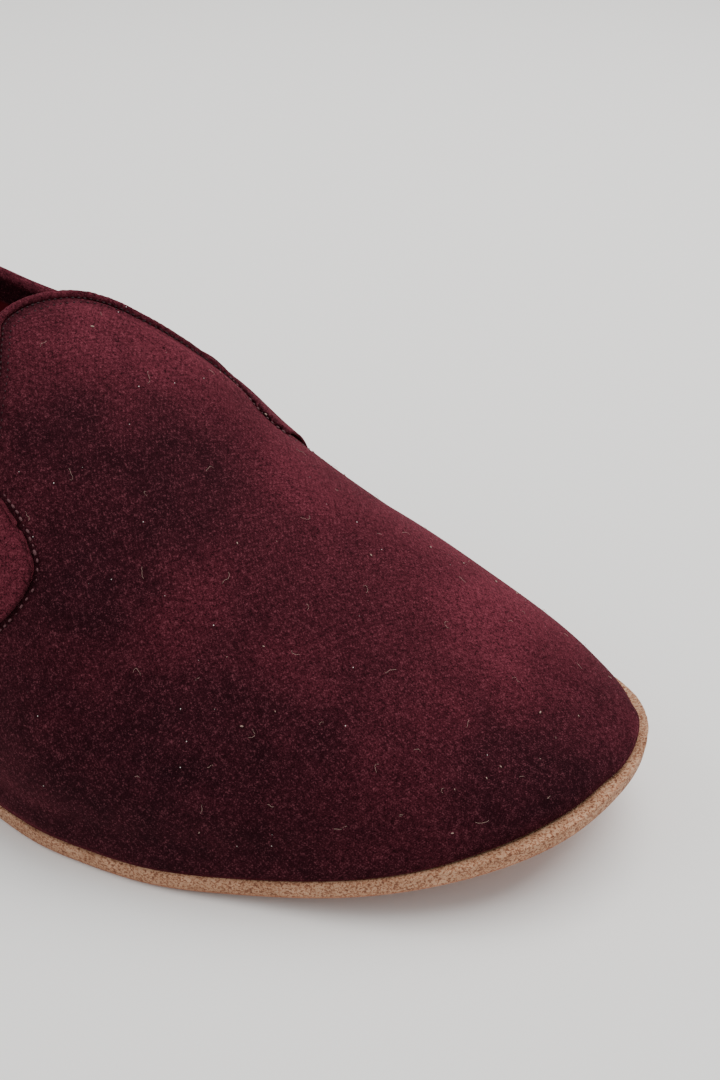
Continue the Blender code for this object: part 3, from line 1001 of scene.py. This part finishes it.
def addFibre(bm, behind, angle, long, seed):
    # One curled lint fibre lying on the vamp: a thin closed tube
    steps = 9
    heading = seed * 2.4
    path = []
    for k in range(steps):
        heading += 1.5 * noise.noise(Vector((seed, k * 0.6, 1.0)))
        behind += math.cos(heading) * long / steps / shoe["length"]
        angle += math.sin(heading) * long / steps / 0.045
        lift = 0.00012 + 0.0002 * math.sin(math.pi * k / (steps - 1))
        point = offsetPoint(np.array([[behind]]), np.array([[angle]]), np.array([[lift]]))[:, 0, 0]
        path.append(Vector(point) + Vector(shoe["middle"]))
    rings = []
    for k, point in enumerate(path):
        run = (path[min(k + 1, steps - 1)] - path[max(k - 1, 0)]).normalized()
        side = run.orthogonal().normalized()
        up = run.cross(side)
        radius = stitches["fibreRadius"]
        rings.append([bm.verts.new(point + (side * math.cos(t) + up * math.sin(t)) * radius)
                      for t in (0.0, math.pi * 0.5, math.pi, math.pi * 1.5)])
    for first, second in zip(rings, rings[1:]):
        for k in range(4):
            bm.faces.new((first[k], first[(k + 1) % 4], second[(k + 1) % 4], second[k]))
    bm.faces.new(rings[0][::-1])
    bm.faces.new(rings[-1])


def beadPiece(name, bm, material):
    piece = pieceFrom(bm, name)
    piece.data.materials.append(material)


def evenly(line, step, others=None):
    # Places at even steps along a polyline, or other values known at its points
    lengths = np.concatenate([[0], np.cumsum(np.linalg.norm(np.diff(line, axis=1), axis=0))])
    at = np.arange(step, lengths[-1] - step, step)
    return np.array([np.interp(at, lengths, row) for row in (line if others is None else others)])


bm = bmesh.new()
for seed, (inside, step, wide, long) in enumerate(stitches["tongueRows"]):
    ends = vampEnd[onTongue] - inside / shoe["length"]
    behind, angle = evenly(lastPoint(ends, tongueAngles), step, (ends, tongueAngles))
    addBeads(bm, behind, angle, wide, long, 3.0 + seed, sunk=wide * 0.45)
beadPiece("tongue_stitches", bm, darkThread)

bm = bmesh.new()
gridBehind, gridAngle = np.meshgrid(
    np.linspace(0.28, 0.48, 320), np.linspace(0.02, 1.35, 300), indexing="ij")
for sideSign in (0, 1):
    angles = gridAngle if sideSign == 0 else math.pi - gridAngle
    surface = lastPoint(gridBehind, angles)
    flatX, flatZ = sideX(surface).ravel(), surface[2].ravel()
    outline = evenly(lobeOutline, stitches["beadStep"])
    run = np.gradient(outline, axis=1)
    run /= np.linalg.norm(run, axis=0)
    outward = np.array([-run[1], run[0]])
    outward *= np.sign(np.mean(outward[0]))
    target = outline + outward * stitches["beadOutside"]
    nearest = [int(np.argmin((flatX - tx) ** 2 + (flatZ - tz) ** 2)) for tx, tz in target.T]
    behind, angle = gridBehind.ravel()[nearest], angles.ravel()[nearest]
    onVamp = behind < np.interp(angle, vampAngles, vampEnd) - 0.001
    shown = (target[1] > 0.018) & onVamp & (behind > 0.285)
    behind, angle = behind[shown], angle[shown]
    addBeads(bm, behind, angle, *stitches["bead"], 9.0 + sideSign, sunk=0.00006, ragged=0.9)
beadPiece("lobe_stitches", bm, paleThread)


def lintPlace(share, angle):
    # Lint lies on the vamp alone: ahead of the tongue's edge and of the lobes
    reach = np.interp(angle, vampAngles, np.where(onTongue, vampEnd - 0.02, 0.31))
    return 0.03 + (reach - 0.03) * share


bm = bmesh.new()
count = np.arange(stitches["flecks"])
angle = math.pi * (0.06 + 0.80 * ((count * 0.7548777 + 0.40) % 1))
behind = lintPlace((count * 0.6180339 + 0.13) % 1, angle)
drift = np.array([[noise.noise(Vector((k * 1.9, axis * 3.0, 4.0))) for k in count] for axis in range(3)])
addBeads(bm, behind, angle, stitches["fleck"], stitches["fleck"] * 2.2, 21.0, -0.00005, 0.8, drift)
for k in range(stitches["fibres"]):
    angle = math.pi * (0.06 + 0.78 * ((k * 0.5698403 + 0.7) % 1))
    behind = float(lintPlace((k * 0.7548777 + 0.21) % 1, angle))
    addFibre(bm, behind, angle, stitches["fibreLength"] * (0.5 + (k * 0.414214) % 1), k + 0.5)
beadPiece("lint_flecks", bm, creamLint)
print("stitches and lint")


# Outsole, heel and sock

sole = {
    "rows": 520,
    "across": 12,
    "edgeRows": 12,
    "roundTop": 0.00025,
    "roundBottom": 0.0009,
    "fray": 0.00010,
    "fibresPerMetre": 1400.0,
    "bottomDarkening": 0.85,          # the edge is darker towards the bottom
    "darkeningFrom": 0.0004,
    "darkeningOver": 0.0009,
}


def soleProfile():
    # Round the sole's edge: how far in and how high, from the top face over the edge to the lower face
    thickness = shoe["soleThickness"]
    top, bottom = sole["roundTop"], sole["roundBottom"]
    edge = []
    for t in np.linspace(0, 1, 4):
        s, c = math.sin(t * math.pi / 2), math.cos(t * math.pi / 2)
        edge.append((top * (1 - s), thickness - top * (1 - c)))
    for t in np.linspace(0, 1, sole["edgeRows"] - 5)[1:-1]:
        edge.append((0.0, thickness - top - (thickness - top - bottom) * t))
    for t in np.linspace(0, 1, 6):
        edge.append((bottom * (1 - math.cos(t * math.pi / 2)), bottom * (1 - math.sin(t * math.pi / 2))))
    return edge


def planPoint(behind, side, inset):
    middle, half = soleEdge(behind, side, inset)
    return xOf(behind) - inset * (1 - 2 * behind), middle, half


def slabPlace(profile, thickness, flatRows, lift, startTurn, fray):
    # A level slab: v runs over the top from the middle line, round the edge and back below, and u runs round
    # the outline
    rows = [("top", k / flatRows) for k in range(flatRows)]
    rows += [("edge", k) for k in range(len(profile))]
    rows += [("under", 1 - (k + 1) / flatRows) for k in range(flatRows)]

    def place(u, v):
        index = np.rint(v * (len(rows) - 1)).astype(int)
        side = np.where(u <= 0.5, -1.0, 1.0)
        # from the outer heel round the toe to the inner heel, or from the breast round the heel
        if startTurn is None:
            turn = math.pi * np.abs(1 - 2 * u)
        else:
            turn = startTurn + (math.pi - startTurn) * (1 - np.abs(1 - 2 * u))
        behind = behindOf(turn)
        inset = np.zeros_like(u)
        height = np.zeros_like(u)
        share = np.ones_like(u)
        for k, (kind, value) in enumerate(rows):
            here = index == k
            if kind == "edge":
                inset[here], height[here] = profile[value]
            elif kind == "top":
                share[here], height[here] = value, thickness
                inset[here] = profile[0][0]
            else:
                share[here] = value
                inset[here] = profile[-1][0]
        x, middle, half = planPoint(behind, side, inset)
        y = middle + side * half * share
        z = lift(behind) + height
        points = np.array([x, y, z])
        if fray:
            flat = points.reshape(3, -1).T
            rough = [noise.fractal(Vector(p * sole["fibresPerMetre"]), 0.6, 2.0, 3) for p in flat]
            rough = np.array(rough).reshape(u.shape)
            on = (share > 0.999) & (height > 0.001)
            out = np.array([np.cos(turn), side * np.sin(turn), 0 * turn])
            points = points + out * rough * fray * on
            points[2] += rough * fray * 0.5 * (share > 0.9) * (height > thickness * 0.9)
        return points

    return place, len(rows) - 1


def soleLayers(u, v, points):
    height = points[2] - soleUnderside(np.clip(0.5 - points[0] / shoe["length"], 0.0, 1.0))
    # Darker towards the bottom of the sole's edge
    return {"low": sole["bottomDarkening"] * (1 - smoothStep((height - sole["darkeningFrom"]) / sole["darkeningOver"]))}


place, across = slabPlace(soleProfile(), shoe["soleThickness"], sole["across"], soleUnderside, None,
                          sole["fray"])
leatherSole = clothSheet("leather_outsole", sole["rows"], across, place, layers=soleLayers, turnOver=False)


def heelLift(behind):
    return 0 * behind


heel = {
    "rows": 160,
    "flatRows": 8,
    "height": 0.0117,
    "lifts": 3,
    "groove": 0.00022,
    "inset": 0.0004,
    "grooveHalf": 0.00035,
    "taper": 0.0012,
    "fray": 0.00005,
}


def heelProfile():
    # Three stacked lifts with a fine groove at each joint
    profile = []
    for t in np.linspace(0, 1, 40):
        z = heel["height"] * (1 - t)
        joint = min(abs(z - heel["height"] * k / heel["lifts"]) for k in range(1, heel["lifts"]))
        groove = heel["groove"] * max(0.0, 1 - joint / heel["grooveHalf"])
        profile.append((heel["inset"] + groove + heel["taper"] * t, z))
    return profile


heelStart = float(turnOf(shoe["heelBreast"]))
place, across = slabPlace(heelProfile(), heel["height"], heel["flatRows"], heelLift, heelStart,
                          heel["fray"])
stackedHeel = clothSheet("stacked_heel", heel["rows"], across, place, turnOver=False)
for slab in (leatherSole, stackedHeel):
    faceOutwards(slab, 4e-6)
leatherSole.data.materials.append(soleLeather)
stackedHeel.data.materials.append(heelLeather)
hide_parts("outsole")
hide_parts("heel")

sock = {"rows": 150, "across": 30, "height": 0.0068, "thickness": 0.0024, "inset": 0.0054, "toeEase": 0.004}


def sockPlace(u, v):
    turn = math.pi * u
    behind = behindOf(turn)
    inset = sock["inset"] + sock["toeEase"] * np.clip(1 - behind / shoe["treadStart"], 0.0, 1.0)
    middle, half = soleEdge(behind, -1.0 + 0 * u, inset)
    _, halfInner = soleEdge(behind, 1.0 + 0 * u, inset)
    reach = 2 * v - 1
    y = middle + reach * np.where(reach < 0, half, halfInner)
    cup = 0.0012 * np.abs(reach) ** 4 * smoothStep((behind - 0.5) / 0.3)
    z = soleUnderside(behind) + sock["height"] + cup
    return np.array([xOf(behind) - inset * (1 - 2 * behind), y, z])


sockLining = clothSheet("sock_lining", sock["rows"], sock["across"], sockPlace)
addWall(sockLining, sock["thickness"])
sockLining.data.materials.append(sockLeather)
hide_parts("insole")
print("sole, heel and sock")


# Camera, floor and light

view = {
    "target": (0.0718, 0.0052, 0.0300),
    "distance": 0.259,
    "phi": 23.22,
    "elevation": 37.07,
    "roll": 2.12,
    "focalPx": 1213.0,
    "shiftPx": (-48.0, 46.0),
    "framePx": 1080.0,
    "sensorMm": 36.0,
}


def makeCamera():
    phi, elevation, roll = (math.radians(view[k]) for k in ("phi", "elevation", "roll"))
    flat = math.cos(elevation)
    back = Vector((math.sin(phi) * flat, -math.cos(phi) * flat, math.sin(elevation)))
    right = Vector((math.cos(phi), math.sin(phi), 0.0))
    up = back.cross(right)
    camRight = math.cos(roll) * right + math.sin(roll) * up
    camUp = -math.sin(roll) * right + math.cos(roll) * up
    place = Vector(view["target"]) + view["distance"] * back + Vector(shoe["middle"])
    data = bpy.data.cameras.new("photoCamera")
    data.sensor_fit = "AUTO"
    data.sensor_width = view["sensorMm"]
    data.lens = view["focalPx"] / view["framePx"] * view["sensorMm"]
    data.shift_x = -view["shiftPx"][0] / view["framePx"]
    data.shift_y = view["shiftPx"][1] / view["framePx"]
    data.clip_start = 0.01
    data.clip_end = 20.0
    camera = addObject("photoCamera", data)
    camera.matrix_world = Matrix((
        (camRight.x, camUp.x, back.x, place.x),
        (camRight.y, camUp.y, back.y, place.y),
        (camRight.z, camUp.z, back.z, place.z),
        (0.0, 0.0, 0.0, 1.0),
    ))
    bpy.context.scene.camera = camera


def areaLight(name, place, aim, size, power):
    data = bpy.data.lights.new(name, "AREA")
    data.shape = "RECTANGLE"
    data.size, data.size_y = size
    data.energy = power
    light = addObject(name, data)
    light.location = place
    light.rotation_euler = (Vector(aim) - Vector(place)).to_track_quat("-Z", "Y").to_euler()


def makeStage():
    bm = bmesh.new()
    bmesh.ops.create_grid(bm, x_segments=2, y_segments=2, size=3.0)
    mesh = bpy.data.meshes.new("floor")
    bm.to_mesh(mesh)
    bm.free()
    floor = addObject("floor", mesh)
    material, tree, shader = newMaterial("paleStudioPaper")
    setInputs(tree, shader, {"Base Color": linear("#faf8f4"), "Roughness": 0.95, "Specular IOR Level": 0.1})
    mesh.materials.append(material)
    world = bpy.context.scene.world or bpy.data.worlds.new("studio")
    bpy.context.scene.world = world
    world.use_nodes = True
    background = world.node_tree.nodes.get("Background") or world.node_tree.nodes.new("ShaderNodeBackground")
    setInputs(world.node_tree, background, {"Color": linear("#f4f5f7"), "Strength": 0.64})
    areaLight("overheadSoftbox", (0.25, 0.45, 1.10), (0.06, 0.0, 0.03), (1.1, 0.9), 16.0)
    areaLight("leftFill", (-0.9, -0.5, 0.8), (0.05, 0.0, 0.03), (0.8, 0.8), 4.0)


makeCamera()
makeStage()
